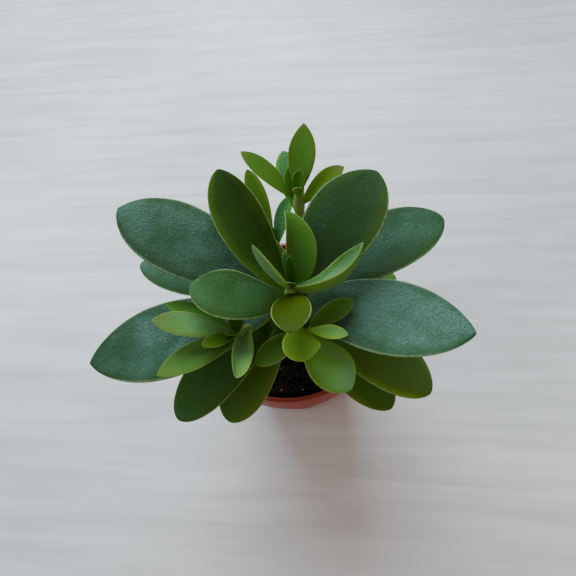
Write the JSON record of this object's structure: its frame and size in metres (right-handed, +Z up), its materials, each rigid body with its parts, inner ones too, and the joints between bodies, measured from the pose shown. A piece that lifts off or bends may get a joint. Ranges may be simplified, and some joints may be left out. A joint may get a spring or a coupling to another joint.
{
  "type": "potted money maker jade plant",
  "caption": "Young jade succulent with fleshy paddle-shaped leaves on short upright stems, planted in a small tapered terracotta-coloured plastic pot of dark soil.",
  "frame": {"origin": "centre of the pot's flat floor, on the surface that the pot stands on", "axes": "+Z up along the pot's axis; the picture was taken from above the -Y side, looking along +Y and down"},
  "size_m": [0.0967, 0.0771, 0.1069],
  "materials": {
    "pot": "matte",
    "soil": "matte",
    "stem": "satin",
    "leaf_mature": "satin",
    "leaf_middle": "satin",
    "leaf_young": "satin"
  },
  "bodies": {
    "root": {"pot": "pot", "soil": "soil", "stem_front": "stem", "stem_back": "stem", "leaf_front_1_left": "leaf_young", "leaf_front_1_right": "leaf_young", "leaf_front_2_back": "leaf_middle", "leaf_front_2_front": "leaf_young", "leaf_front_3_left": "leaf_middle", "leaf_front_4_left": "leaf_mature", "leaf_front_4_right": "leaf_mature", "leaf_front_5_left": "leaf_mature", "leaf_front_5_right": "leaf_mature", "leaf_front_6_left": "leaf_mature", "leaf_front_6_right": "leaf_mature", "leaf_front_7_left": "leaf_mature", "leaf_front_7_right": "leaf_mature", "leaf_front_8_left": "leaf_middle", "leaf_front_8_right": "leaf_middle", "leaf_front_9_left": "leaf_mature", "leaf_front_9_right": "leaf_mature", "leaf_front_10_left": "leaf_middle", "leaf_front_10_right": "leaf_mature", "leaf_left_1_inner": "leaf_young", "leaf_left_1_outer": "leaf_young", "leaf_left_2_upper": "leaf_middle", "leaf_left_2_middle": "leaf_young", "leaf_left_2_lower": "leaf_young", "leaf_right_1_front": "leaf_young", "leaf_right_1_right": "leaf_young", "leaf_right_2_right": "leaf_middle", "leaf_right_2_left": "leaf_middle", "leaf_right_3_front": "leaf_young", "leaf_back_1_back": "leaf_young", "leaf_back_1_left": "leaf_young", "leaf_back_1_right": "leaf_young", "leaf_back_2_back": "leaf_middle", "leaf_back_3_right": "leaf_mature", "leaf_twig_1_left": "leaf_middle", "leaf_twig_1_right": "leaf_middle"}
  },
  "joints": []
}
